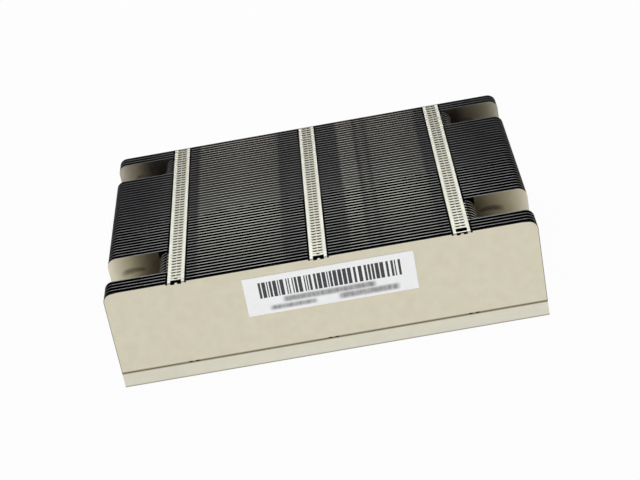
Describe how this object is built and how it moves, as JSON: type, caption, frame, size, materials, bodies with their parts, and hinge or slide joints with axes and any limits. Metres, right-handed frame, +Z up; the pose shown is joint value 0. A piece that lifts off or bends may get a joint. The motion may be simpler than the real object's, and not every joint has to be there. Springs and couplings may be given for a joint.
{
  "type": "passive server processor heatsink",
  "caption": "Flat passive processor heatsink: thin folded fins hooked together along their tops and soldered to a flat base plate, with open corner pockets over its screw holes.",
  "frame": {"origin": "middle of the base plate's underside", "axes": "+Z up from the base to the fin tops, X along the fins, -Y out of the labelled end plate"},
  "size_m": [0.108, 0.0784, 0.027],
  "materials": {
    "fin_sheet": "thin nickel-plated aluminium sheet, satin, faintly warm",
    "base_metal": "nickel-plated aluminium plate, satin, faintly warm",
    "label_paper": "white paper sticker, matt, with plain grey print"
  },
  "bodies": {
    "root": {"base_plate": "base_metal", "fin_01": "fin_sheet", "fin_02": "fin_sheet", "fin_03": "fin_sheet", "fin_04": "fin_sheet", "fin_05": "fin_sheet", "fin_06": "fin_sheet", "fin_07": "fin_sheet", "fin_08": "fin_sheet", "fin_09": "fin_sheet", "fin_10": "fin_sheet", "fin_11": "fin_sheet", "fin_12": "fin_sheet", "fin_13": "fin_sheet", "fin_14": "fin_sheet", "fin_15": "fin_sheet", "fin_16": "fin_sheet", "fin_17": "fin_sheet", "fin_18": "fin_sheet", "fin_19": "fin_sheet", "fin_20": "fin_sheet", "fin_21": "fin_sheet", "fin_22": "fin_sheet", "fin_23": "fin_sheet", "fin_24": "fin_sheet", "fin_25": "fin_sheet", "fin_26": "fin_sheet", "fin_27": "fin_sheet", "fin_28": "fin_sheet", "fin_29": "fin_sheet", "fin_30": "fin_sheet", "fin_31": "fin_sheet", "fin_32": "fin_sheet", "fin_33": "fin_sheet", "fin_34": "fin_sheet", "fin_35": "fin_sheet", "fin_36": "fin_sheet", "fin_37": "fin_sheet", "fin_38": "fin_sheet", "fin_39": "fin_sheet", "fin_40": "fin_sheet", "fin_41": "fin_sheet", "fin_42": "fin_sheet", "fin_43": "fin_sheet", "fin_44": "fin_sheet", "fin_45": "fin_sheet", "fin_46": "fin_sheet", "fin_47": "fin_sheet", "fin_48": "fin_sheet", "fin_49": "fin_sheet", "fin_50": "fin_sheet", "fin_51": "fin_sheet", "fin_52": "fin_sheet", "fin_53": "fin_sheet", "label": "label_paper"}
  },
  "joints": []
}
